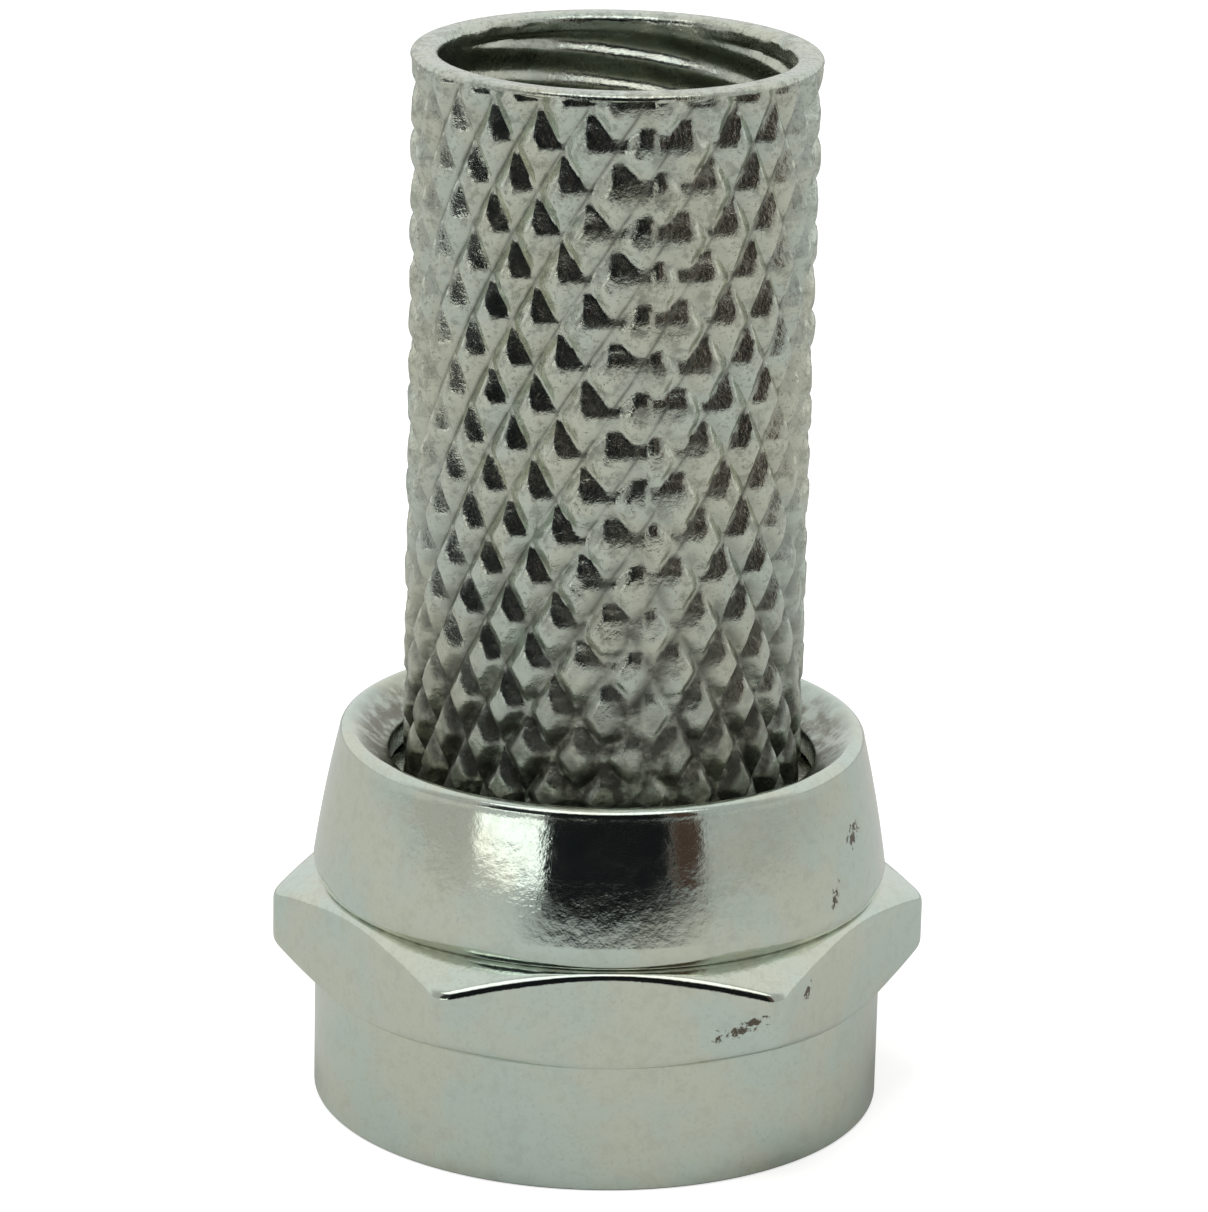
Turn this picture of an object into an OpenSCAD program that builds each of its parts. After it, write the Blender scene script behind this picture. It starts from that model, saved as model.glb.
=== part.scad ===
// Twist-on F-type coaxial plug: a knurled sleeve that screws onto the cable, and a hexagon coupling nut that
// turns freely on the sleeve's flange and screws onto the port. All lengths are in millimetres.
// +Z runs from the port to the cable, and z = 0 is the nut's front face, on which the plug stands.

/* [Coupling nut] */
// Wall between the crests of the port thread and the hexagon's flats
hexagon_wall = 1.07; // [0.97:0.01:1.57]
// Radius that rounds the hexagon's upright corners
corner_round = 0.5; // [0.2:0.1:0.9]
// Slope of the chamfers at both ends of the hexagon, from the level
chamfer_angle = 27; // [15:1:40]
// Height of the plain collar in front of the hexagon
collar_height = 2.45; // [1.5:0.05:4]
// How far the collar lies inside the flats
collar_step = 0.04; // [0.02:0.01:0.2]
// Height of the hexagon band, from the collar to the foot of the skirt
hexagon_height = 1.95; // [1.5:0.05:4]
// Height of the skirt, from the hexagon to the top of the rim
skirt_height = 2.95; // [2.6:0.05:4]
// Wall between the flange's recess and the skirt where it is widest
skirt_wall = 0.73; // [0.63:0.01:0.93]
// Width of the dished end face, from the lip's hole to the outside of the rim
dish_width = 0.96; // [0.88:0.01:1.23]
// How far the skirt's side swells past a straight line
skirt_swell = 0.03; // [0:0.01:0.08]
// Radius of the skirt's rounded foot
foot_round = 0.3; // [0.1:0.05:0.4]
// Radius of the rounded rim
rim_round = 0.18; // [0.1:0.02:0.24]
// Slope of the dished end face, from the rim down to the hole's edge
dish_angle = 35; // [20:1:45]
// Thickness of the closed-in lip at the edge of its hole
lip_thickness = 0.45; // [0.3:0.05:0.7]
// Rounding of the front face's outer edge
front_round = 0.08; // [0.04:0.02:0.2]

/* [Port thread] */
// Diameter at the crests of the nut's inside thread, 3/8-32 UNEF
port_crest_width = 8.86; // [8.7:0.02:9]
// Depth of the nut's inside thread
thread_depth = 0.345; // [0.22:0.005:0.42]
// Slope of the lead-in at the thread's mouth, from the axis
lead_in_angle = 45; // [30:5:60]
// How far the lead-in opens past the thread's roots
lead_in_step = 0.05; // [0.02:0.01:0.15]

/* [Sleeve] */
// Length of the sleeve, from its front face to its mouth
sleeve_length = 15.5; // [12:0.5:22]
// Diameter of the bore that takes the cable's jacket
bore_width = 6.6; // [6:0.05:6.7]
// Wall between the bore and the crests of the knurl
tube_wall = 0.5; // [0.45:0.01:0.65]
// How far the plain rim at the mouth stands out past the knurl's crests
mouth_step = 0.02; // [-0.1:0.01:0.15]
// Height of the plain rim at the mouth
mouth_height = 0.24; // [0.2:0.02:1]
// Rounding of the mouth's outer edge
mouth_round = 0.13; // [0.05:0.01:0.16]
// Rounding of the mouth's inner edge
bore_round = 0.16; // [0.05:0.01:0.2]
// Diameter of the hole in the front wall, for the cable's dielectric
dielectric_width = 5.0; // [4:0.1:5.4]
// Thickness of the front wall
front_wall = 1.0; // [0.6:0.1:1.3]
// Thickness of the flange that the nut turns on
flange_thickness = 1.35; // [1:0.05:1.8]
// How far the flange reaches past the lip's hole
flange_grip = 0.6; // [0.3:0.05:0.65]
// Rounding of the flange's edges
flange_round = 0.1; // [0.05:0.05:0.2]

/* [Fit of nut and sleeve] */
// Gap all round between the knurl and the lip's hole
lip_gap = 0.25; // [0.1:0.05:0.3]
// Gap all round between the flange and its recess
flange_gap = 0.1; // [0.05:0.01:0.12]
// Play along the axis on each side of the flange
end_play = 0.1; // [0.05:0.01:0.2]

/* [Knurl] */
// Number of diamonds in one turn
knurl_count = 24; // [16:1:36]
// Height of one diamond
knurl_height = 1.635; // [1:0.005:2.5]
// Depth of the grooves between the diamonds
knurl_depth = 0.25; // [0.1:0.01:0.3]
// Share of each diamond that stays flat at its crest
knurl_flat = 0.36; // [0.1:0.02:0.7]
// Turn of the knurl against the hexagon
knurl_turn = -3; // [-7.5:0.5:7.5]
// Turn of the casting's seam against the hexagon
seam_turn = -81; // [-180:1:180]
// Share of what a die can't let go of that fills the groove crossings near the seams
seam_fill = 0.6; // [0:0.05:0.9]
// Plain ring left between the knurl and what ends it
knurl_land = 0.03; // [0.02:0.01:0.2]

/* [Hidden] */
NICKEL = [0.76, 0.78, 0.73];
NICKEL_BRIGHT = [0.80, 0.82, 0.78];
// Faces of a round solid in the preview
$fn = 96;
// Straight steps in a quarter turn of a rounded edge
STEPS = 5;
// How far a cutting tool reaches past the face that it breaks through
PAST = 1;

// Radii of the sleeve, and of the nut's rear end that closes round it
bore_r = bore_width / 2;
crest_r = bore_r + tube_wall;
valley_r = crest_r - knurl_depth;
mouth_r = crest_r + mouth_step;
lip_hole_r = max(crest_r, mouth_r) + lip_gap;
flange_r = lip_hole_r + flange_grip;
recess_r = flange_r + flange_gap;
skirt_r = recess_r + skirt_wall;
rim_r = lip_hole_r + dish_width;

// Radii of the nut's front end, and of the crease between its hexagon and its skirt
port_r = port_crest_width / 2;
lead_in_r = port_r + thread_depth + lead_in_step;
flats_r = port_r + hexagon_wall;
collar_r = flats_r - collar_step;
crease_r = skirt_r - 2 / 3 * foot_round;

// Levels up the nut. The dish leaves the rounded rim smoothly and meets the hole at lip_top.
hexagon_top = collar_height + hexagon_height;
nut_height = hexagon_top + skirt_height;
rim_z = nut_height - rim_round;
dish_rise = (dish_width - rim_round * (1 + sin(dish_angle))) * tan(dish_angle);
lip_top = rim_z + rim_round * cos(dish_angle) - dish_rise;
lip_bottom = lip_top - lip_thickness;
shoulder = lip_bottom - flange_thickness - 2 * end_play;

// Levels up the sleeve, which hangs in the nut by its flange
sleeve_front = shoulder + end_play;
flange_top = sleeve_front + flange_thickness;
sleeve_top = sleeve_front + sleeve_length;
mouth_bottom = sleeve_top - mouth_height;

// Points along an arc about [x, y], from angle a to angle b
function arc(x, y, r, a, b, n = STEPS) = [for (i = [0:n]) [x + r * cos(a + (b - a) * i / n),
                                                          y + r * sin(a + (b - a) * i / n)]];

// Solid of revolution, closed along the axis, with the given outline from the bottom up
module turned(outline) {
    bottom = outline[0][1];
    top = outline[len(outline) - 1][1];
    rotate_extrude()
        polygon(concat([[0, bottom]], outline, [[0, top]]));
}

// Hexagon with round upright corners, from the radius to its flats
module rounded_hexagon(r, round_r) {
    reach = (r - round_r) / cos(30);
    polygon([for (k = [0:5]) each arc(reach * cos(60 * k), reach * sin(60 * k), round_r, 60 * k - 30, 60 * k + 30)]);
}

// Hexagon band, cut to a cone at both ends. The cones start inside the collar and the skirt's foot.
module hexagon_band() {
    inset = foot_round;
    slope = tan(chamfer_angle);
    past_corner_r = flats_r / cos(30) + PAST;
    inside_collar_r = collar_r - inset;
    inside_foot_r = skirt_r - foot_round - inset;
    intersection() {
        translate([0, 0, collar_height - PAST])
            linear_extrude(hexagon_height + 2 * PAST)
                rounded_hexagon(flats_r, corner_round);
        turned([[inside_collar_r, collar_height - inset * slope],
                [past_corner_r, collar_height + (past_corner_r - collar_r) * slope],
                [past_corner_r, hexagon_top - (past_corner_r - crease_r) * slope],
                [inside_foot_r, hexagon_top + (crease_r - inside_foot_r) * slope]]);
    }
}

// Collar, core and tapering skirt in one outline, with the rounded foot and rim and the dish round the hole
module turned_body() {
    widest_z = hexagon_top + foot_round;
    side = [for (i = [1:6]) let (t = i / 7)
            [skirt_r + (rim_r - skirt_r) * t + 4 * skirt_swell * t * (1 - t),
             widest_z + (rim_z - widest_z) * t]];
    turned(concat(arc(collar_r - front_round, front_round, front_round, -90, 0),
                  [[collar_r, collar_height + hexagon_height / 2]],
                  arc(skirt_r - foot_round, widest_z, foot_round, -90, 0),
                  side,
                  arc(rim_r - rim_round, rim_z, rim_round, 0, 90 + dish_angle),
                  [[lip_hole_r - lip_thickness / 2, lip_top - lip_thickness / 2 * tan(dish_angle)]]));
}

module coupling_nut() {
    color(NICKEL_BRIGHT)
        difference() {
            union() {
                turned_body();
                hexagon_band();
            }
            translate([0, 0, -PAST])
                cylinder(r = port_r, h = shoulder + 2 * PAST);
            turned([[lead_in_r + PAST * tan(lead_in_angle), -PAST],
                    [port_r - 0.2, (lead_in_r - port_r + 0.2) / tan(lead_in_angle)]]);
            translate([0, 0, shoulder])
                cylinder(r = recess_r, h = lip_bottom - shoulder);
            translate([0, 0, lip_bottom - PAST / 2])
                cylinder(r = lip_hole_r, h = skirt_height + PAST);
        }
}

// Knurled rod from z0 to z1 with plain stubs of the given length at both ends. Each diamond is a low pyramid
// with a flat crest; the corners of all diamonds lie at the bottom of the grooves. The rod is cast in a die of
// two halves, so the grooves are filled up toward its two seams, where a half could not be drawn off them.
module knurled_rod(z0, z1, stub, seam) {
    rows = max(2, round((z1 - z0) / (knurl_height / 2)));
    n = knurl_count;
    step = (z1 - z0) / rows;
    half = 180 / n;
    // Rows count from the top, so that a change of length leaves the mouth's end as it is
    function aligned(j) = (rows - j) % 2 == 0;
    function phase(j) = aligned(j) ? 0 : half;
    function on(r, a, z) = [r * cos(a), r * sin(a), z];
    function off_seam(a) = 90 - abs((a - seam + 720) % 180 - 90);
    function drawn_r(t) = crest_r * cos(t + half * (1 - knurl_flat)) / cos(t);
    function groove_r(t) = valley_r + seam_fill * max(0, drawn_r(t) - valley_r);
    // Groove crossings, one ring for each row of diamonds
    crossings = [for (j = [0:rows], k = [0:n - 1])
                    let (a = 2 * half * k + half - phase(j)) on(groove_r(off_seam(a)), a, z0 + j * step)];
    // Left, upper, right and lower corner of the flat crest of each diamond
    crests = [for (j = [0:rows], k = [0:n - 1])
                 let (a = 2 * half * k + phase(j), z = z0 + j * step, u = knurl_flat * half, v = knurl_flat * step)
                 each [on(crest_r, a - u, z), on(crest_r, a, z + v), on(crest_r, a + u, z), on(crest_r, a, z - v)]];
    function crest(j, k, corner) = len(crossings) + (j * n + k) * 4 + corner;
    // Crossings to the left and right of a diamond, and those above and below it
    function left(j, k) = j * n + (aligned(j) ? (k + n - 1) % n : k);
    function right(j, k) = j * n + (aligned(j) ? k : (k + 1) % n);
    function above(j, k) = (j + 1) * n + k;
    function below(j, k) = (j - 1) * n + k;
    upper_flanks = [for (j = [0:rows - 1], k = [0:n - 1])
                        let (l = left(j, k), r = right(j, k), u = above(j, k),
                             pl = crest(j, k, 0), pu = crest(j, k, 1), pr = crest(j, k, 2))
                        each [[l, u, pl], [u, pu, pl], [u, r, pr], [u, pr, pu], [pl, pu, pr]]];
    lower_flanks = [for (j = [1:rows], k = [0:n - 1])
                        let (l = left(j, k), r = right(j, k), d = below(j, k),
                             pl = crest(j, k, 0), pr = crest(j, k, 2), pd = crest(j, k, 3))
                        each [[r, d, pr], [d, pd, pr], [d, l, pl], [d, pl, pd], [pl, pr, pd]]];
    // The end rows' outlines, counted with the angle, and the same outlines at the far end of each stub
    function outline(j) = [for (k = [0:n - 1]) each [left(j, k), crest(j, k, 0), crest(j, k, 2)]];
    bottom_edge = outline(0);
    top_edge = outline(rows);
    net = concat(crossings, crests);
    bottom_stub = [for (i = bottom_edge) [net[i][0], net[i][1], z0 - stub]];
    top_stub = [for (i = top_edge) [net[i][0], net[i][1], z1 + stub]];
    m = len(bottom_edge);
    first_b = len(net);
    first_t = first_b + m;
    stub_walls = [for (i = [0:m - 1]) let (i2 = (i + 1) % m)
                      each [[first_b + i, bottom_edge[i], first_b + i2],
                            [bottom_edge[i], bottom_edge[i2], first_b + i2],
                            [top_edge[i], first_t + i, top_edge[i2]],
                            [first_t + i, first_t + i2, top_edge[i2]]]];
    ends = [[for (i = [0:m - 1]) first_b + i], [for (i = [m - 1:-1:0]) first_t + i]];
    polyhedron(concat(net, bottom_stub, top_stub), concat(upper_flanks, lower_flanks, stub_walls, ends));
}

module cable_sleeve() {
    color(NICKEL)
        difference() {
            union() {
                turned(concat(arc(flange_r - flange_round, sleeve_front + flange_round, flange_round, -90, 0),
                              arc(flange_r - flange_round, flange_top - flange_round, flange_round, 0, 90)));
                rotate([0, 0, knurl_turn])
                    knurled_rod(flange_top + knurl_land, mouth_bottom - knurl_land, mouth_height / 2,
                                seam_turn - knurl_turn);
                turned(concat([[mouth_r, mouth_bottom]],
                              arc(mouth_r - mouth_round, sleeve_top - mouth_round, mouth_round, 0, 90)));
            }
            translate([0, 0, sleeve_front + front_wall])
                cylinder(r = bore_r, h = sleeve_length);
            translate([0, 0, sleeve_front - PAST])
                cylinder(r = dielectric_width / 2, h = front_wall + 2 * PAST);
            // Rounding of the mouth's inner edge
            turned(concat([[bore_r, sleeve_top - bore_round]],
                          arc(bore_r + bore_round, sleeve_top - bore_round, bore_round, 180, 90),
                          [[bore_r + bore_round, sleeve_top + PAST]]));
        }
}

cable_sleeve();
coupling_nut();
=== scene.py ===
"""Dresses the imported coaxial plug: a knurled sleeve and a hexagon nut in nickel plate, on a pale studio floor.

Lengths are written in millimetres and turned to metres where they reach Blender. +Z runs from the port to the
cable, and z = 0 is the nut's front face, on which the plug stands.
"""

import math

import bpy
import numpy as np
from mathutils import Matrix, Vector


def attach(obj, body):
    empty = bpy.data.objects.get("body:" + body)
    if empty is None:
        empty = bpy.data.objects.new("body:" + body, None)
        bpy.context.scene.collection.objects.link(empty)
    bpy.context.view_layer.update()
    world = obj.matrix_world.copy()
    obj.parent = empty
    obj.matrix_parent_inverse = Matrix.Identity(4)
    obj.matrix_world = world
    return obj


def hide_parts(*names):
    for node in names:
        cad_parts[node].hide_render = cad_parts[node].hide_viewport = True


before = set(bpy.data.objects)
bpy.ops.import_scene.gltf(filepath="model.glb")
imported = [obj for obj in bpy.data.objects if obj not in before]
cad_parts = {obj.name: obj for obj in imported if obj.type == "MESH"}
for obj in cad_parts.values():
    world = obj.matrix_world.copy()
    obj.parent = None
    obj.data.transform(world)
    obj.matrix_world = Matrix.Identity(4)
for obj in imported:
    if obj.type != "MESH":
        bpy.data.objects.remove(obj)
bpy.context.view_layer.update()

MM = 0.001

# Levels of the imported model, from the nut's front face
COLLAR_TOP = 2.45
HEXAGON_TOP = 4.40
SHOULDER = 4.8436
SLEEVE_FRONT = 4.9436
FLANGE_TOP = 6.2936
LIP_BOTTOM = 6.3936
LIP_TOP = 6.8436
NUT_TOP = 7.35
SLEEVE_TOP = 20.4436

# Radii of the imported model
BORE_R = 3.3
CREST_R = 3.8
VALLEY_R = 3.55
MOUTH_R = 3.82
HOLE_R = 2.5
LIP_HOLE_R = 4.07
FLANGE_R = 4.67
RECESS_R = 4.77
FLATS_R = 5.5
COLLAR_R = 5.46
CREASE_R = 5.3
SKIRT_R = 5.5
RIM_R = 5.03
PORT_R = 4.43
LEAD_IN_R = 4.825

# The knurl: 24 diamonds a turn, each as wide as 16 columns and as high as 16 rows of the skin
KNURL_COUNT = 24
KNURL_HEIGHT = 1.635
KNURL_TURN = math.radians(-3.0)
KNURL_ROW_Z = 20.17
KNURL_DEPTH = 0.25
CELLS = 8
SEAM = math.radians(-81.1)


def arc(r, z, radius, start, end, count):
    """Points along an arc in the plane of radius and height, with its angles in degrees."""
    angles = np.radians(np.linspace(start, end, count + 1))
    return [(r + radius * math.cos(a), z + radius * math.sin(a)) for a in angles]


def line(start, end, count):
    """Points from start up to, but without, end."""
    return [tuple(np.array(start) + (np.array(end) - np.array(start)) * i / count) for i in range(count)]


def spun(name, outline, steps, start=0.0):
    """One closed skin: a closed outline of (radius, height) points, spun about the plug's axis."""
    bpy.ops.object.select_all(action="DESELECT")
    bpy.ops.mesh.primitive_circle_add(vertices=len(outline), radius=MM, fill_type="NOTHING")
    piece = bpy.context.active_object
    piece.name = name
    piece.data.name = name
    points = [(r * math.cos(start), r * math.sin(start), z) for r, z in outline]
    piece.data.vertices.foreach_set("co", (np.array(points) * MM).ravel())
    bpy.ops.object.mode_set(mode="EDIT")
    bpy.ops.mesh.select_all(action="SELECT")
    bpy.ops.mesh.spin(steps=steps, angle=math.tau, center=(0, 0, 0), axis=(0, 0, 1))
    bpy.ops.mesh.select_all(action="SELECT")
    bpy.ops.mesh.remove_doubles(threshold=2e-7)
    bpy.ops.mesh.normals_make_consistent(inside=False)
    bpy.ops.object.mode_set(mode="OBJECT")
    return piece


def places(piece):
    """Angle, radius and height of each vertex, in radians and millimetres."""
    co = np.empty(len(piece.data.vertices) * 3)
    piece.data.vertices.foreach_get("co", co)
    co = co.reshape(-1, 3) / MM
    return np.arctan2(co[:, 1], co[:, 0]), np.hypot(co[:, 0], co[:, 1]), co[:, 2]


def put(piece, x, y, z):
    """Moves the vertices to new places, in millimetres."""
    piece.data.vertices.foreach_set("co", (np.column_stack([x, y, z]) * MM).ravel())
    piece.data.update()


def rows_of(outline, r, z):
    """Number of the outline point that each vertex was spun from."""
    rows = np.full(len(r), -1)
    for i, (row_r, row_z) in enumerate(outline):
        rows[(abs(r - row_r) < 4e-4) & (abs(z - row_z) < 4e-4)] = i
    assert (rows >= 0).all()
    return rows


def smooth_step(x, low, high):
    t = np.clip((x - low) / (high - low), 0, 1)
    return t * t * (3 - 2 * t)


def soft_max(a, b, width):
    """Greater of two fields, with the edge between them rounded over the given width."""
    h = np.clip(0.5 + 0.5 * (a - b) / width, 0, 1)
    return b + (a - b) * h + width * h * (1 - h)


def waves(x, y, seed, count=14, low=0.6, high=3.0):
    """Smooth random field in about -1 to 1, for the unevenness of a casting."""
    rng = np.random.default_rng(seed)
    field = np.zeros(np.broadcast(x, y).shape)
    for _ in range(count):
        kx, ky = rng.uniform(low, high, 2) * rng.choice([-1, 1], 2)
        field = field + np.sin(kx * x + ky * y + rng.uniform(0, math.tau))
    return field / math.sqrt(count)


def finish_skin(piece, angle):
    bpy.ops.object.select_all(action="DESELECT")
    piece.select_set(True)
    bpy.context.view_layer.objects.active = piece
    bpy.ops.object.shade_smooth_by_angle(angle=math.radians(angle))


# Sleeve


def knurl_cell(angle, z):
    """Place on the lattice of diamonds: along each of the two groove directions, 0 at a crest and 1 in a groove."""
    u = (angle - KNURL_TURN) / (math.pi / KNURL_COUNT)
    w = (z - KNURL_ROW_Z) / (KNURL_HEIGHT / 2)
    to_crest = lambda x: abs((x + 1) % 2 - 1)
    return to_crest(u + w), to_crest(u - w)


def knurl_radius(angle, z):
    """Radius of the knurl: low pyramids, worn soft near the mouth and with flatter crests toward the nut."""
    across, along = knurl_cell(angle, z)
    out = soft_max(across * 0.94, along, 0.07)
    low_down = smooth_step(-z, -15.0, -9.0)
    flat = 0.30 + 0.12 * low_down
    flank = (out - flat) / (1 - flat)
    fall = np.clip(soft_max(flank, 0 * flank, 0.18 - 0.10 * low_down), 0, 1)
    rounded_fall = fall - 0.06 * smooth_step(fall, 0.8, 1.0)
    return CREST_R - KNURL_DEPTH * rounded_fall


def drawn_from_die(angle, r):
    """Fills what two die halves, parted at the seam, could not have let go of. Rows are rings, columns angles."""
    turn = (angle - SEAM + math.pi) % math.tau - math.pi
    x = r * np.sin(turn)
    v = r * np.cos(turn)
    draft = math.tan(math.radians(1.5))
    columns = turn[0]
    for near, side in ((0, 1), (0, -1), (1, 1), (1, -1)):
        from_seam = (columns - near * math.pi + math.pi) % math.tau - math.pi
        chosen = np.where((from_seam * side >= 0) & (abs(from_seam) <= math.pi / 2))[0]
        chosen = chosen[np.argsort(-abs(from_seam[chosen]))]
        sign = -1 if near else 1
        reach = sign * v[:, chosen] + draft * abs(x[:, chosen])
        v[:, chosen] = sign * (np.maximum.accumulate(reach, axis=1) - draft * abs(x[:, chosen]))
    return (x * math.cos(SEAM + math.pi / 2) + v * math.cos(SEAM),
            x * math.sin(SEAM + math.pi / 2) + v * math.sin(SEAM))


# Four-start thread that cuts into the cable's jacket: modelled near the mouth, in the finish farther in
JACKET_PITCH = 0.62
JACKET_LEAD = 2.48
JACKET_DEPTH = 0.105
JACKET_START_Z = 20.26
MODELLED_TO_Z = 18.45


def jacket_thread(angle, z):
    """Radius of the bore near the mouth, where its thread starts: steep flanks face the mouth."""
    p = (z - JACKET_START_Z - JACKET_LEAD * angle / math.tau) / JACKET_PITCH % 1
    groove = smooth_step(p, 0.0, 0.30) - smooth_step(p, 0.34, 1.0)
    fade = smooth_step(z, MODELLED_TO_Z, MODELLED_TO_Z + 0.2) * smooth_step(-z, -20.15, -20.0)
    return BORE_R + JACKET_DEPTH * groove * fade


def sleeve_outline():
    row = KNURL_HEIGHT / 2 / CELLS
    knurl_rows = [(CREST_R, KNURL_ROW_Z - row * k) for k in range(135, -1, -1)]
    end_rows = [(CREST_R, z) for z in (20.20, 20.225, 20.25, 20.275, 20.30)]
    thread_step = JACKET_PITCH / 15
    thread_rows = [(BORE_R, SLEEVE_TOP - 0.16 - thread_step * k) for k in range(0, 46)]
    deep_z = thread_rows[-1][1]
    deep_rows = line((BORE_R, deep_z - 0.16), (BORE_R, SLEEVE_FRONT + 1.05), 24)
    return (line((HOLE_R + 0.05, SLEEVE_FRONT), (FLANGE_R - 0.1, SLEEVE_FRONT), 4)
            + arc(FLANGE_R - 0.1, SLEEVE_FRONT + 0.1, 0.1, -90, 0, 4)
            + arc(FLANGE_R - 0.1, FLANGE_TOP - 0.1, 0.1, 0, 90, 4)
            + line((FLANGE_R - 0.3, FLANGE_TOP), (CREST_R, FLANGE_TOP), 3)
            + [(CREST_R, FLANGE_TOP)]
            + knurl_rows + end_rows
            + arc(MOUTH_R - 0.11, SLEEVE_TOP - 0.11, 0.11, 0, 90, 7)
            + [((MOUTH_R - 0.11 + BORE_R + 0.16) / 2, SLEEVE_TOP)]
            + arc(BORE_R + 0.16, SLEEVE_TOP - 0.16, 0.16, 90, 180, 7)[:-1]
            + thread_rows + deep_rows
            + [(BORE_R, SLEEVE_FRONT + 1.05), (BORE_R - 0.05, SLEEVE_FRONT + 1.0)]
            + line((BORE_R - 0.25, SLEEVE_FRONT + 1.0), (HOLE_R + 0.05, SLEEVE_FRONT + 1.0), 2)
            + [(HOLE_R + 0.05, SLEEVE_FRONT + 1.0), (HOLE_R, SLEEVE_FRONT + 0.95), (HOLE_R, SLEEVE_FRONT + 0.05)])


def make_sleeve():
    outline = sleeve_outline()
    steps = KNURL_COUNT * 2 * CELLS
    piece = spun("knurled_sleeve", outline, steps, KNURL_TURN)
    angle, r, z = places(piece)
    rows = rows_of(outline, r, z)
    turn = np.round((angle - KNURL_TURN) / (math.tau / steps)).astype(int) % steps
    # Rings of vertices, one line for each outline point
    rings = np.full((len(outline), steps), -1)
    rings[rows, turn] = np.arange(len(rows))
    assert (rings >= 0).all()
    angle = angle[rings]
    r = r[rings]
    z = z[rings]

    uneven = waves(angle * 24 / 2, z * 2.4, 5)
    knurl = np.array([abs(row_r - CREST_R) < 1e-4 and row_z > FLANGE_TOP - 0.01 for row_r, row_z in outline])
    knurl_z = z[knurl] + 0.012 * waves(angle[knurl] * 7, z[knurl] * 1.6, 6)
    knurl_angle = angle[knurl] + 0.0016 * waves(angle[knurl] * 6, z[knurl] * 1.9, 7)
    body = knurl_radius(knurl_angle, knurl_z) + 0.009 * uneven[knurl]
    body += 0.006 * waves(angle[knurl] * CREST_R, z[knurl], 8, 30, 5.0, 16.0)
    rim = VALLEY_R - 0.06 + (MOUTH_R - VALLEY_R + 0.06) * smooth_step(z[knurl], SLEEVE_TOP - 0.23 , SLEEVE_TOP - 0.10)
    body = soft_max(body, rim, 0.03)
    r[knurl] = np.minimum(body, MOUTH_R)
    # Painted shade: the grooves are darkened, the deeper the darker and most in the rising ones, and so are all the
    # rows near the nut
    low_down = smooth_step(-z[knurl], -14.0, -8.0)
    rising_groove = smooth_step(knurl_cell(knurl_angle, knurl_z)[1], 0.84, 0.99)
    sleeve_shade = np.zeros_like(r)
    sleeve_shade[knurl] = np.clip((CREST_R - body) / KNURL_DEPTH, 0, 1) * (0.35 + 0.35 * low_down) + 0.34 * low_down
    sleeve_shade[knurl] += 0.38 * smooth_step(-z[knurl], -9.6, -7.6)
    sleeve_shade[knurl] = np.maximum(sleeve_shade[knurl], 0.8 * rising_groove * (z[knurl] < 20.1))

    bore = np.array([abs(row_r - BORE_R) < 1e-4 and row_z > SLEEVE_FRONT + 1.04 for row_r, row_z in outline])
    r[bore] = jacket_thread(angle[bore], z[bore]) + 0.008 * uneven[bore]
    # Painted shade inside the bore
    sleeve_shade[bore] = 0.3

    x = r * np.cos(angle)
    y = r * np.sin(angle)
    x[knurl], y[knurl] = drawn_from_die(angle[knurl], r[knurl])

    order = rings.ravel()
    new_x, new_y, new_z, painted_shade = (np.empty(len(order)) for _ in range(4))
    new_x[order] = x.ravel()
    new_y[order] = y.ravel()
    new_z[order] = z.ravel()
    painted_shade[order] = sleeve_shade.ravel()
    part_diamonds(piece, rings, knurl)
    put(piece, new_x, new_y, new_z)
    layer = piece.data.attributes.new("painted_shade", "FLOAT", "POINT")
    layer.data.foreach_set("value", painted_shade)
    finish_skin(piece, 50)
    return piece


def part_diamonds(piece, rings, knurl):
    """Splits the knurl's four-sided cells along the grooves, so that no groove is bridged."""
    mesh = piece.data
    angle, r, z = places(piece)
    on_knurl = np.zeros(len(mesh.vertices), bool)
    on_knurl[rings[knurl].ravel()] = True
    corners = np.empty(len(mesh.polygons) * 4, int)
    mesh.polygons.foreach_get("vertices", corners)
    corners = corners.reshape(-1, 4)
    inside = on_knurl[corners].all(axis=1)
    a = np.unwrap(angle[corners], axis=1)
    across, along = knurl_cell(a.mean(axis=1), z[corners].mean(axis=1))
    rises = (a[:, 2] - a[:, 0]) * (z[corners[:, 2]] - z[corners[:, 0]]) > 0
    first_diagonal = rises == (along > across)
    for method, chosen in (("FIXED", inside & first_diagonal), ("FIXED_ALTERNATE", inside & ~first_diagonal)):
        bpy.ops.object.mode_set(mode="EDIT")
        bpy.ops.mesh.select_mode(type="FACE")
        bpy.ops.mesh.select_all(action="DESELECT")
        bpy.ops.object.mode_set(mode="OBJECT")
        flags = np.zeros(len(mesh.polygons), bool)
        if method == "FIXED":
            flags[:] = chosen
            marks = mesh.attributes.new("other_way", "BOOLEAN", "FACE")
            marks.data.foreach_set("value", inside & ~first_diagonal)
        else:
            mesh.attributes["other_way"].data.foreach_get("value", flags)
        mesh.polygons.foreach_set("select", flags)
        bpy.ops.object.mode_set(mode="EDIT")
        bpy.ops.mesh.quads_convert_to_tris(quad_method=method)
        bpy.ops.object.mode_set(mode="OBJECT")
    mesh.attributes.remove(mesh.attributes["other_way"])


# Nut

PORT_PITCH = 0.79375
PORT_DEPTH = 0.33


def port_thread(angle, z):
    """Radius of the nut's inside thread, with flat crests and roots."""
    p = abs((z / PORT_PITCH - angle / math.tau) % 1 - 0.5) * 2
    groove = np.clip((0.88 - p) / 0.74, 0, 1)
    fade = 1 - smooth_step(z, SHOULDER - 0.75, SHOULDER - 0.35)
    return PORT_R + PORT_DEPTH * groove * fade


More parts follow.
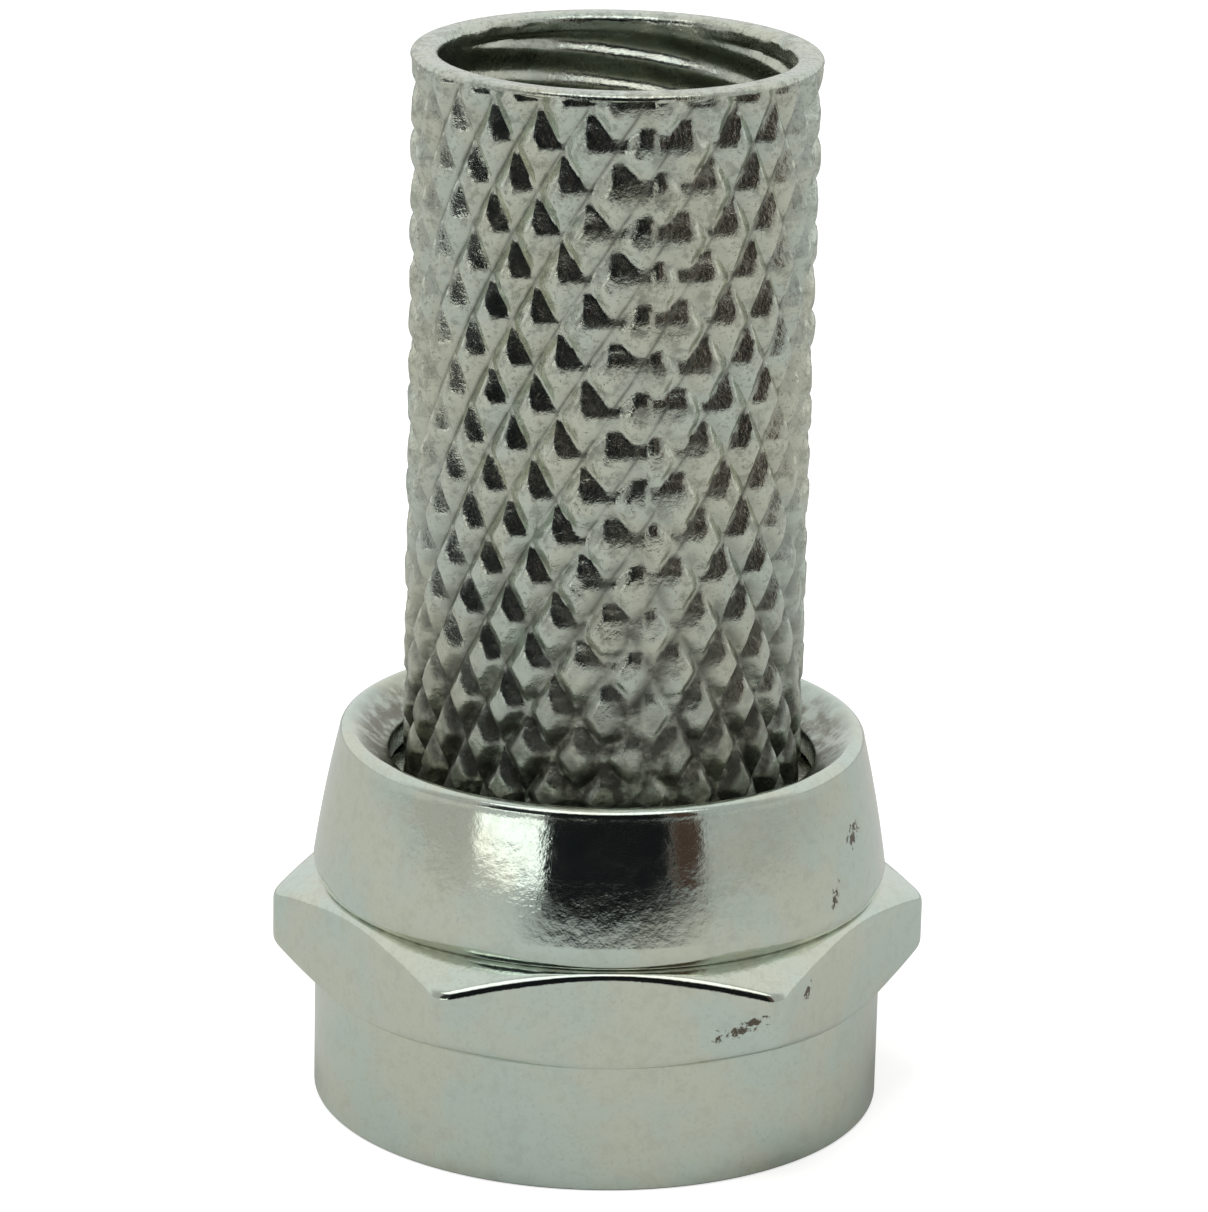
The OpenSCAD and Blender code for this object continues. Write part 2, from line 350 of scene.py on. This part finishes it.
def hexagon_radius(angle):
    """Distance to the hexagon's outside, with its upright corners rounded."""
    local = (angle + math.pi / 6) % (math.pi / 3) - math.pi / 6
    round_r = 0.5
    reach = (FLATS_R - round_r) / math.cos(math.pi / 6)
    on_corner = reach * np.cos(local) + np.sqrt(np.maximum(round_r ** 2 - (reach * np.sin(local)) ** 2, 0))
    on_flat = FLATS_R / np.cos(math.pi / 6 - abs(local))
    touch = math.atan2(round_r * math.sin(math.pi / 6), reach + round_r * math.cos(math.pi / 6))
    return np.where(abs(local) < touch, on_corner, on_flat)


# Rows of the hexagon band: which stretch of its profile each lies on, and how far along it
BAND_ROWS = ([("lower", t) for t in (0.0, 0.2, 0.5, 0.8, 1.0)]
             + [("lower edge", t) for t in (0.2, 0.4, 0.6, 0.8)]
             + [("side", t) for t in (0.0, 0.12, 0.35, 0.65, 0.88, 1.0)]
             + [("upper edge", t) for t in (0.2, 0.4, 0.6, 0.8)]
             + [("upper", t) for t in (0.0, 0.2, 0.5, 0.8, 1.0)])


def band_places(angle):
    """Radius and height of each row of the hexagon band at the given angles."""
    slope = math.tan(math.radians(27))
    outside = hexagon_radius(angle)
    foot = np.array([np.full_like(outside, COLLAR_R), np.full_like(outside, COLLAR_TOP)])
    low = np.array([outside, COLLAR_TOP + (outside - COLLAR_R) * slope])
    high = np.array([outside, HEXAGON_TOP - (outside - CREASE_R) * slope])
    top = np.array([np.full_like(outside, CREASE_R + 0.05), np.full_like(outside, HEXAGON_TOP - 0.05 * slope)])

    def toward(corner, other, edge):
        step = other - corner
        length = np.hypot(*step)
        return corner + step * np.minimum(edge / np.maximum(length, 1e-6), 0.45)

    edge = 0.16
    stretches = {
        "lower": (foot, toward(low, foot, edge)),
        "side": (toward(low, high, edge), toward(high, low, edge)),
        "upper": (toward(high, top, edge), top),
        "lower edge": (toward(low, foot, edge), low, toward(low, high, edge)),
        "upper edge": (toward(high, low, edge), high, toward(high, top, edge)),
    }
    for name, t in BAND_ROWS:
        ends = stretches[name]
        if len(ends) == 2:
            yield ends[0] + (ends[1] - ends[0]) * t
        else:
            yield ends[0] * (1 - t) ** 2 + 2 * ends[1] * t * (1 - t) + ends[2] * t * t


def skirt_side():
    rise = np.linspace(0, 1, 18)[1:-1]
    foot_z = HEXAGON_TOP + 0.3
    rim_z = NUT_TOP - 0.18
    return [(SKIRT_R + (RIM_R - SKIRT_R) * t + 4 * 0.03 * t * (1 - t), foot_z + (rim_z - foot_z) * t) for t in rise]


def nut_outline():
    band = [(COLLAR_R + 0.002 * (i + 1), COLLAR_TOP + 0.05 * (i + 1)) for i in range(len(BAND_ROWS))]
    dish_end = arc(RIM_R - 0.18, NUT_TOP - 0.18, 0.18, 0, 125, 12)
    thread = line((PORT_R, SHOULDER - 0.02), (PORT_R, LEAD_IN_R - PORT_R + 0.02), 46)
    outline = (arc(COLLAR_R - 0.08, 0.08, 0.08, -90, 0, 5)
               + line((COLLAR_R, 0.3), (COLLAR_R, COLLAR_TOP - 0.03), 5)
               + [(COLLAR_R, COLLAR_TOP - 0.03)]
               + band
               + [(5.375, 4.378), (5.405, 4.40), (5.437, 4.445), (5.465, 4.51), (5.487, 4.60), (SKIRT_R, 4.70)]
               + skirt_side()
               + dish_end
               + line(dish_end[-1], (LIP_HOLE_R + 0.04, LIP_TOP + 0.028), 5)[1:]
               + [(LIP_HOLE_R + 0.04, LIP_TOP + 0.028), (LIP_HOLE_R + 0.012, LIP_TOP - 0.005),
                  (LIP_HOLE_R, LIP_TOP - 0.04), (LIP_HOLE_R, LIP_BOTTOM + 0.02), (LIP_HOLE_R + 0.02, LIP_BOTTOM)]
               + [(RECESS_R - 0.03, LIP_BOTTOM), (RECESS_R, LIP_BOTTOM - 0.03), (RECESS_R, SHOULDER + 0.03),
                  (RECESS_R - 0.03, SHOULDER), (PORT_R + 0.02, SHOULDER)]
               + thread
               + [(PORT_R + 0.02, LEAD_IN_R - PORT_R - 0.02), (LEAD_IN_R - 0.03, 0.03), (LEAD_IN_R + 0.02, 0.0)]
               + line((LEAD_IN_R + 0.12, 0.0), (COLLAR_R - 0.08, 0.0), 4)[:-1])
    return outline, len(arc(0, 0, 1, 0, 1, 5)) + 6


def make_nut():
    outline, first_band_row = nut_outline()
    steps = 360
    piece = spun("hexagon_nut", outline, steps)
    angle, r, z = places(piece)
    rows = rows_of(outline, r, z)
    # Columns stand closer together at the hexagon's corners
    angle = angle - 0.62 * np.sin(6 * angle) / 6
    for i, (band_r, band_z) in enumerate(band_places(angle)):
        chosen = rows == first_band_row + i
        r[chosen] = band_r[chosen]
        z[chosen] = band_z[chosen]
    thread = (abs(r - PORT_R) < 1e-3) & (z < SHOULDER - 0.01) & (z > 0.4)
    r[thread] = port_thread(angle[thread], z[thread])
    x = r * np.cos(angle)
    y = r * np.sin(angle)
    put(piece, x, y, z)
    # Painted shade: a dark line in the crease at the skirt's foot, and a painted shadow on the dish next to the
    # sleeve
    painted_shade = 0.5 * np.exp(-((z - 4.39) / 0.06) ** 2) * (r > 4.9) * (r < 5.47)
    painted_shade = np.maximum(painted_shade, 0.85 * smooth_step(-r, -5.02, -4.4) * (z > 6))
    layer = piece.data.attributes.new("painted_shade", "FLOAT", "POINT")
    layer.data.foreach_set("value", painted_shade)
    finish_skin(piece, 50)
    return piece


# Finishes


class Nodes:
    """Short calls for the nodes of one material or of the world."""

    def __init__(self, tree):
        self.tree = tree
        tree.nodes.clear()

    def add(self, kind, inputs=(), **settings):
        node = self.tree.nodes.new(kind)
        for name, value in settings.items():
            setattr(node, name, value)
        for name, value in dict(inputs).items():
            if isinstance(value, bpy.types.NodeSocket):
                self.tree.links.new(value, node.inputs[name])
            else:
                node.inputs[name].default_value = value
        return node

    def math(self, operation, a, b=0.0, c=None, clamp=False):
        inputs = {0: a, 1: b}
        if c is not None:
            inputs[2] = c
        return self.add("ShaderNodeMath", inputs, operation=operation, use_clamp=clamp).outputs[0]

    def ramp(self, value, low, high, to_low=0.0, to_high=1.0, smooth=True):
        inputs = {"Value": value, "From Min": low, "From Max": high, "To Min": to_low, "To Max": to_high}
        kind = "SMOOTHSTEP" if smooth else "LINEAR"
        return self.add("ShaderNodeMapRange", inputs, interpolation_type=kind).outputs["Result"]

    def mix(self, factor, a, b):
        node = self.add("ShaderNodeMix", data_type="RGBA")
        for socket, value in ((node.inputs[0], factor), (node.inputs[6], a), (node.inputs[7], b)):
            if isinstance(value, bpy.types.NodeSocket):
                self.tree.links.new(value, socket)
            else:
                socket.default_value = value
        return node.outputs[2]

    def noise(self, place, scale, detail=4.0, roughness=0.55, distortion=0.0):
        inputs = {"Vector": place, "Scale": scale, "Detail": detail, "Roughness": roughness, "Distortion": distortion}
        return self.add("ShaderNodeTexNoise", inputs).outputs["Fac"]

    def spots(self, place, scale, randomness=1.0):
        inputs = {"Vector": place, "Scale": scale, "Randomness": randomness}
        return self.add("ShaderNodeTexVoronoi", inputs).outputs["Distance"]


def marks_at(n, place, marks):
    """Small dark nicks: each has its centre and half lengths in millimetres, and its turn in degrees."""
    ragged = n.noise(place, 9000, 3, 0.6)
    total = 0.0
    for centre, half, turn in marks:
        mapping = n.add("ShaderNodeMapping", {
            "Vector": place, "Location": [c * MM for c in centre],
            "Rotation": (0, math.radians(turn), 0), "Scale": [h * MM for h in half],
        }, vector_type="TEXTURE")
        away = n.add("ShaderNodeVectorMath", {0: mapping.outputs[0]}, operation="LENGTH").outputs["Value"]
        away = n.math("ADD", away, n.math("MULTIPLY_ADD", ragged, 4.0, -2.0))
        total = n.math("MAXIMUM", n.ramp(away, 0.5, 1.0, 1.0, 0.0), total)
    return total


def jacket_relief(n, place):
    """Grooves of the jacket thread below the modelled ones, as a height in millimetres."""
    x, y, z = n.add("ShaderNodeSeparateXYZ", {0: place}).outputs
    turn = n.math("MULTIPLY", n.math("ARCTAN2", y, x), JACKET_LEAD * MM / math.tau)
    along = n.math("SUBTRACT", n.math("SUBTRACT", z, JACKET_START_Z * MM), turn)
    wave = n.math("COSINE", n.math("MULTIPLY", along, math.tau / (JACKET_PITCH * MM)))
    distance = n.math("SQRT", n.math("MULTIPLY_ADD", x, x, n.math("MULTIPLY", y, y)))
    inside = n.math("LESS_THAN", distance, (BORE_R + 0.12) * MM)
    below = n.ramp(z, MODELLED_TO_Z * MM, (MODELLED_TO_Z + 0.2) * MM, 1.0, 0.0)
    above = n.ramp(z, (SLEEVE_FRONT + 1.3) * MM, (SLEEVE_FRONT + 1.8) * MM)
    fade = n.math("MULTIPLY", n.math("MULTIPLY", inside, below), above)
    return n.math("MULTIPLY", n.math("MULTIPLY", wave, fade), JACKET_DEPTH / 2)


def nickel(name, colour, shade_and_dirt_colour, lustre_range, relief_mm, specks, marks=(), threaded=False):
    """Nickel plate over a casting: fine grain, pits, clouded lustre, random dark specks, patches and nicks, and
    painted shade in the hollows read from a vertex attribute.
    """
    material = bpy.data.materials.new(name)
    material.use_nodes = True
    n = Nodes(material.node_tree)
    place = n.add("ShaderNodeTexCoord").outputs["Object"]
    painted_shade_mask = n.add("ShaderNodeAttribute", attribute_name="painted_shade").outputs["Fac"]

    clouds = n.noise(place, 420, 5, 0.6)
    mottle = n.noise(place, 2600, 4, 0.6)
    grain = n.noise(place, 13000, 3, 0.65)
    speck = n.math("MULTIPLY", n.ramp(grain, 0.50, 0.68), specks)

    # Painted shade from the vertex attribute, mottled, joined by random dark specks, patches and nicks
    shade_and_dirt = n.math("MULTIPLY", n.ramp(painted_shade_mask, 0.1, 1.0, smooth=False), n.ramp(mottle, 0.35, 0.6, 0.45, 1.0))
    shade_and_dirt = n.math("MAXIMUM", shade_and_dirt, n.math("MULTIPLY", speck, n.ramp(mottle, 0.35, 0.6, 0.3, 1.0)))
    patches = n.math("MULTIPLY", n.ramp(n.noise(place, 3400, 5, 0.7), 0.46, 0.66), specks * 0.8)
    shade_and_dirt = n.math("MAXIMUM", shade_and_dirt, patches)
    shade_and_dirt = n.math("MAXIMUM", shade_and_dirt, marks_at(n, place, marks))

    warm = tuple(c * f for c, f in zip(colour, (1.04, 1.0, 0.93))) + (1.0,)
    cool = tuple(c * f for c, f in zip(colour, (0.96, 1.0, 1.0))) + (1.0,)
    plate = n.mix(n.ramp(clouds, 0.38, 0.62), cool, warm)
    surface = n.mix(shade_and_dirt, plate, shade_and_dirt_colour + (1.0,))

    lustre = n.math("ADD", n.ramp(clouds, 0.3, 0.7, *lustre_range), n.math("MULTIPLY", shade_and_dirt, 0.3))
    coarse, medium, fine = relief_mm
    relief = n.math("MULTIPLY", n.noise(place, 1100, 3, 0.5), coarse)
    relief = n.math("MULTIPLY_ADD", n.noise(place, 4200, 3, 0.6), medium, relief)
    relief = n.math("MULTIPLY_ADD", grain, fine, relief)
    if threaded:
        relief = n.math("ADD", relief, jacket_relief(n, place))
    bump = n.add("ShaderNodeBump", {"Height": relief, "Strength": 1.0, "Distance": MM}).outputs["Normal"]
    shader = n.add("ShaderNodeBsdfPrincipled", {"Base Color": surface, "Metallic": 1.0, "Roughness": lustre,
                                                "Normal": bump})
    n.add("ShaderNodeOutputMaterial", {"Surface": shader.outputs[0]})
    return material


def dress(piece, material, node, body):
    piece.data.materials.append(material)
    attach(piece, body)
    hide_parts(node)


# Room


def studio_world():
    """Soft pale tent with the dark room and the window that the plating mirrors. The camera sees plain white."""
    world = bpy.data.worlds.new("studio_world")
    world.use_nodes = True
    bpy.context.scene.world = world
    n = Nodes(world.node_tree)
    ray = n.add("ShaderNodeSeparateXYZ", {0: n.add("ShaderNodeTexCoord").outputs["Generated"]})
    x, y, z = ray.outputs
    turn = math.radians(-2.6)
    side = n.math("MULTIPLY_ADD", x, math.cos(turn), n.math("MULTIPLY", y, math.sin(turn)))
    front = n.math("SUBTRACT", n.math("MULTIPLY", x, math.sin(turn)), n.math("MULTIPLY", y, math.cos(turn)))
    azimuth = n.math("MULTIPLY", n.math("ARCTAN2", side, front), 180 / math.pi)
    elevation = n.math("MULTIPLY", n.math("ARCSINE", z), 180 / math.pi)

    def patch(az, el, soft=1.5):
        left = n.ramp(azimuth, az[0] - soft, az[0] + soft)
        right = n.ramp(azimuth, az[1] - soft, az[1] + soft, 1.0, 0.0)
        low = n.ramp(elevation, el[0] - soft / 2, el[0] + soft / 2)
        high = n.ramp(elevation, el[1] - soft, el[1] + soft, 1.0, 0.0)
        return n.math("MULTIPLY", n.math("MULTIPLY", left, right), n.math("MULTIPLY", low, high))

    grey = lambda v: (v, v * 1.0, v * 0.99, 1.0)
    tent = n.mix(n.ramp(front, -0.2, 0.2), grey(0.78), grey(0.46))
    tent = n.mix(patch((-23, 30), (-3, 45)), tent, (0.008, 0.009, 0.010, 1))
    tent = n.mix(patch((30, 43), (-3, 45)), tent, (0.07, 0.04, 0.03, 1))
    tent = n.mix(patch((-52, -23), (8, 45)), tent, (0.03, 0.032, 0.034, 1))
    tent = n.mix(patch((-52, -23), (0.7, 8), 0.8), tent, (1.5, 1.5, 1.45, 1))
    tent = n.mix(patch((-70, 60), (50, 76), 3), tent, (1.5, 1.5, 1.5, 1))
    path = n.add("ShaderNodeLightPath")
    sky = n.mix(path.outputs["Is Camera Ray"], tent, (1.0, 1.0, 1.0, 1.0))
    shader = n.add("ShaderNodeBackground", {"Color": sky, "Strength": 1.0})
    n.add("ShaderNodeOutputWorld", {"Surface": shader.outputs[0]})


def studio_floor():
    bpy.ops.object.select_all(action="DESELECT")
    bpy.ops.mesh.primitive_plane_add(size=1.2)
    floor = bpy.context.active_object
    floor.name = "studio_floor"
    material = bpy.data.materials.new("pale_floor")
    material.use_nodes = True
    n = Nodes(material.node_tree)
    # Painted shadow: the card turns black in a sector in front, beyond about 90 mm, so that the plating mirrors a
    # dark room; the camera still sees it white
    x, y, _ = n.add("ShaderNodeSeparateXYZ", {0: n.add("ShaderNodeTexCoord").outputs["Object"]}).outputs
    turn = math.radians(-2.6)
    side = n.math("MULTIPLY_ADD", x, math.cos(turn), n.math("MULTIPLY", y, math.sin(turn)))
    front = n.math("SUBTRACT", n.math("MULTIPLY", x, math.sin(turn)), n.math("MULTIPLY", y, math.cos(turn)))
    azimuth = n.math("MULTIPLY", n.math("ARCTAN2", side, front), 180 / math.pi)
    sector = n.math("MULTIPLY", n.ramp(azimuth, -36, -12), n.ramp(azimuth, 18, 52, 1.0, 0.0))
    reach = n.math("DIVIDE", n.math("SQRT", n.math("MULTIPLY_ADD", x, x, n.math("MULTIPLY", y, y))), 0.09)
    falloff = n.math("DIVIDE", 1.0, n.math("ADD", n.math("POWER", reach, 5.0), 1.0))
    painted_shadow = n.math("MULTIPLY", sector, n.math("SUBTRACT", 1.0, falloff))
    colour = n.mix(painted_shadow, (0.52, 0.52, 0.51, 1), (0.0, 0.0, 0.0, 1))
    path = n.add("ShaderNodeLightPath")
    lift = n.math("MULTIPLY", path.outputs["Is Camera Ray"], n.math("MULTIPLY_ADD", painted_shadow, 0.36, 0.68))
    card = n.add("ShaderNodeBsdfDiffuse", {"Color": colour}).outputs[0]
    glow = n.add("ShaderNodeEmission", {"Color": (1, 1, 1, 1), "Strength": lift}).outputs[0]
    both = n.add("ShaderNodeAddShader", {0: card, 1: glow}).outputs[0]
    n.add("ShaderNodeOutputMaterial", {"Surface": both})
    floor.data.materials.append(material)


def soft_lamp(name, place, target, size, power):
    bpy.ops.object.light_add(type="AREA", location=Vector(place) * MM)
    lamp = bpy.context.active_object
    lamp.name = name
    lamp.data.shape = "DISK"
    lamp.data.size = size * MM
    lamp.data.energy = power
    aim = (Vector(target) - Vector(place)) * MM
    lamp.rotation_euler = aim.to_track_quat("-Z", "Y").to_euler()
    lamp.visible_glossy = False
    return lamp


def photograph_camera():
    """The camera that the photograph's silhouette gives: turned 2.6 degrees, and rolled 1.3 degrees."""
    turn = math.radians(-92.6)
    eye = Vector((102.0886 * math.cos(turn), 102.0886 * math.sin(turn), 42.109))
    target = Vector((-0.0196, 0.0009, 9.6939))
    roll = 0.0227
    bpy.ops.object.camera_add(location=eye * MM)
    camera = bpy.context.active_object
    camera.name = "photograph_camera"
    camera.data.sensor_width = 36
    camera.data.lens = 167.41
    camera.data.clip_start = 0.001
    camera.data.clip_end = 10
    forward = (target - eye).normalized()
    side = forward.cross(Vector((0, 0, 1))).normalized()
    up = side.cross(forward)
    right = side * math.cos(roll) + up * math.sin(roll)
    above = up * math.cos(roll) - side * math.sin(roll)
    camera.matrix_world = Matrix.Translation(eye * MM) @ Matrix((right, above, -forward)).transposed().to_4x4()
    bpy.context.scene.camera = camera


bpy.context.scene.view_settings.view_transform = "Standard"
sleeve = make_sleeve()
nut = make_nut()
# The colour after the plate's colour is for the painted shade and the dark specks
sleeve_nickel = nickel("sleeve_nickel_plate", (0.68, 0.725, 0.645), (0.13, 0.13, 0.11), (0.11, 0.20),
                       (0.010, 0.015, 0.009), 0.55, threaded=True)
nut_marks = [
    ((2.35, -5.5, 3.22), (0.42, 0.3, 0.12), -18), ((2.70, -5.5, 3.42), (0.28, 0.3, 0.08), -30),
    ((4.60, -2.42, 5.95), (0.15, 0.3, 0.28), 25), ((4.28, -3.25, 5.10), (0.09, 0.3, 0.22), 10),
    ((3.72, -4.56, 3.65), (0.07, 0.3, 0.17), 20), ((1.0, -5.45, 6.7), (0.05, 0.4, 0.05), 0),
]
# The colour after the plate's colour is for the painted shade and the dark specks
nut_nickel = nickel("nut_nickel_plate", (0.69, 0.76, 0.69), (0.16, 0.14, 0.11), (0.07, 0.12),
                    (0.010, 0.0035, 0.0015), 0.13, marks=nut_marks)
dress(sleeve, sleeve_nickel, "cable_sleeve", "sleeve")
dress(nut, nut_nickel, "coupling_nut", "nut")
studio_world()
studio_floor()
soft_lamp("overhead_lamp", (-60, -40, 260), (0, 0, 8), 160, 0.35)
photograph_camera()
